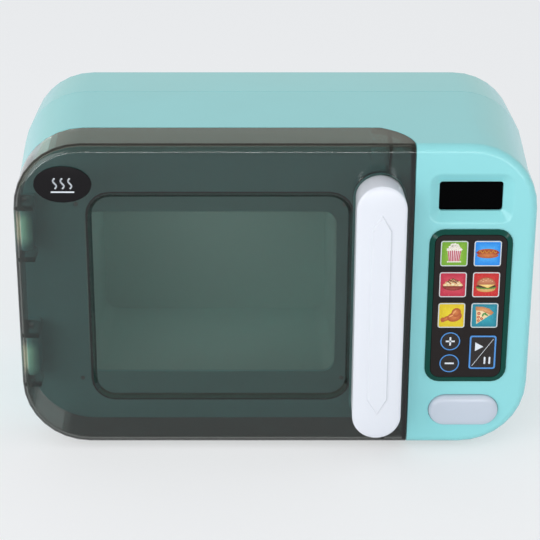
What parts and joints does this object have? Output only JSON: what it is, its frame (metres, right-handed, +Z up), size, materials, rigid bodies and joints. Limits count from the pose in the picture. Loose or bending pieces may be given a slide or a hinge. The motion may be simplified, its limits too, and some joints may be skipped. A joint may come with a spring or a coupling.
{
  "type": "toy microwave oven",
  "caption": "Toy microwave oven with a rounded aqua case, a wrapped smoked door with a raised handle, picture keys, a display and a release button that lifts the door's latch",
  "frame": {"origin": "on the ground, under the middle of the overall box", "axes": "+X to the right seen from the front, +Y to the back, +Z up; the door faces -Y"},
  "size_m": [0.302, 0.171, 0.1894],
  "materials": {
    "aqua_plastic": "glossy, moulded in colour",
    "liner_plastic": "satin",
    "smoked_plastic": "clear smoked green, polished",
    "white_plastic": "glossy",
    "latch_plastic": "slippery, slightly satin",
    "gloss_black": "polished",
    "matte_black": "fine grain",
    "bezel_green": "polished",
    "overlay_black": "satin",
    "silicone": "matt",
    "circuit_board": "satin",
    "clear_plastic": "clear",
    "steel": "plated",
    "spring_steel": "plated",
    "foot_rubber": "matt",
    "cell_wrap": "printed sleeve, plain",
    "key_lime": "printed",
    "key_sky": "printed",
    "key_crimson": "printed",
    "key_orange": "printed",
    "key_yellow": "printed",
    "key_teal": "printed",
    "key_dark": "printed"
  },
  "bodies": {
    "case": {"front_housing": "aqua_plastic", "rear_cover": "aqua_plastic", "cavity_liner": "liner_plastic", "hinge_pin_lower": "steel", "hinge_pin_upper": "steel", "foot_1": "foot_rubber", "foot_2": "foot_rubber", "foot_3": "foot_rubber", "foot_4": "foot_rubber", "housing_screw_1": "steel", "housing_screw_2": "steel", "housing_screw_3": "steel", "housing_screw_4": "steel", "liner_screw_1": "steel", "liner_screw_2": "steel", "liner_screw_3": "steel", "liner_screw_4": "steel", "lamp_lens": "clear_plastic", "lamp_board": "circuit_board", "lamp_led": "clear_plastic", "display_window": "gloss_black", "display_module": "matte_black", "keypad_bezel": "bezel_green", "keypad_overlay": "overlay_black", "keypad_membrane": "silicone", "control_board": "circuit_board", "latch_spring": "spring_steel", "speaker": "matte_black", "battery_1": "cell_wrap", "battery_2": "cell_wrap", "battery_3": "cell_wrap", "battery_contact_1": "spring_steel", "battery_contact_2": "spring_steel", "battery_contact_3": "spring_steel", "battery_contact_4": "spring_steel", "battery_cover": "aqua_plastic", "battery_cover_screw": "steel", "switch_body": "matte_black"},
    "door": {"door_shell": "smoked_plastic", "door_handle": "white_plastic", "badge": "gloss_black", "handle_screw_1": "steel", "handle_screw_2": "steel"},
    "release_button": {"release_button": "white_plastic"},
    "latch_slider": {"latch_slider": "latch_plastic"},
    "key_popcorn": {"key_popcorn": "key_lime"},
    "key_hot_dog": {"key_hot_dog": "key_sky"},
    "key_noodles": {"key_noodles": "key_crimson"},
    "key_burger": {"key_burger": "key_orange"},
    "key_drumstick": {"key_drumstick": "key_yellow"},
    "key_pizza": {"key_pizza": "key_teal"},
    "key_plus": {"key_plus": "key_dark"},
    "key_minus": {"key_minus": "key_dark"},
    "key_play_pause": {"key_play_pause": "key_dark"},
    "power_switch": {"power_switch": "matte_black"}
  },
  "joints": [
    {"name": "door_hinge", "type": "hinge", "parent": "case", "child": "door", "pos_m": [-0.1415, -0.0485, 0.0962], "axis": [0, 0, -1], "range_deg": [0, 105]},
    {"name": "button_press", "type": "slide", "parent": "case", "child": "release_button", "axis": [0, 1, 0], "range_m": [0, 0.003], "stiffness_N_per_m": 300},
    {"name": "latch_lift", "type": "slide", "parent": "case", "child": "latch_slider", "axis": [0, 0, 1], "range_m": [0, 0.003], "stiffness_N_per_m": 150, "deforming": ["latch_spring"]},
    {"name": "key_popcorn_press", "type": "slide", "parent": "case", "child": "key_popcorn", "axis": [0, 1, 0], "range_m": [0, 0.0008], "stiffness_N_per_m": 800},
    {"name": "key_hot_dog_press", "type": "slide", "parent": "case", "child": "key_hot_dog", "axis": [0, 1, 0], "range_m": [0, 0.0008], "stiffness_N_per_m": 800},
    {"name": "key_noodles_press", "type": "slide", "parent": "case", "child": "key_noodles", "axis": [0, 1, 0], "range_m": [0, 0.0008], "stiffness_N_per_m": 800},
    {"name": "key_burger_press", "type": "slide", "parent": "case", "child": "key_burger", "axis": [0, 1, 0], "range_m": [0, 0.0008], "stiffness_N_per_m": 800},
    {"name": "key_drumstick_press", "type": "slide", "parent": "case", "child": "key_drumstick", "axis": [0, 1, 0], "range_m": [0, 0.0008], "stiffness_N_per_m": 800},
    {"name": "key_pizza_press", "type": "slide", "parent": "case", "child": "key_pizza", "axis": [0, 1, 0], "range_m": [0, 0.0008], "stiffness_N_per_m": 800},
    {"name": "key_plus_press", "type": "slide", "parent": "case", "child": "key_plus", "axis": [0, 1, 0], "range_m": [0, 0.0008], "stiffness_N_per_m": 800},
    {"name": "key_minus_press", "type": "slide", "parent": "case", "child": "key_minus", "axis": [0, 1, 0], "range_m": [0, 0.0008], "stiffness_N_per_m": 800},
    {"name": "key_play_pause_press", "type": "slide", "parent": "case", "child": "key_play_pause", "axis": [0, 1, 0], "range_m": [0, 0.0008], "stiffness_N_per_m": 800},
    {"name": "switch_slide", "type": "slide", "parent": "case", "child": "power_switch", "axis": [1, 0, 0], "range_m": [0, 0.004]}
  ],
  "couplings": [
    {"joint": "latch_lift", "follows": "button_press", "ratio": 1}
  ]
}
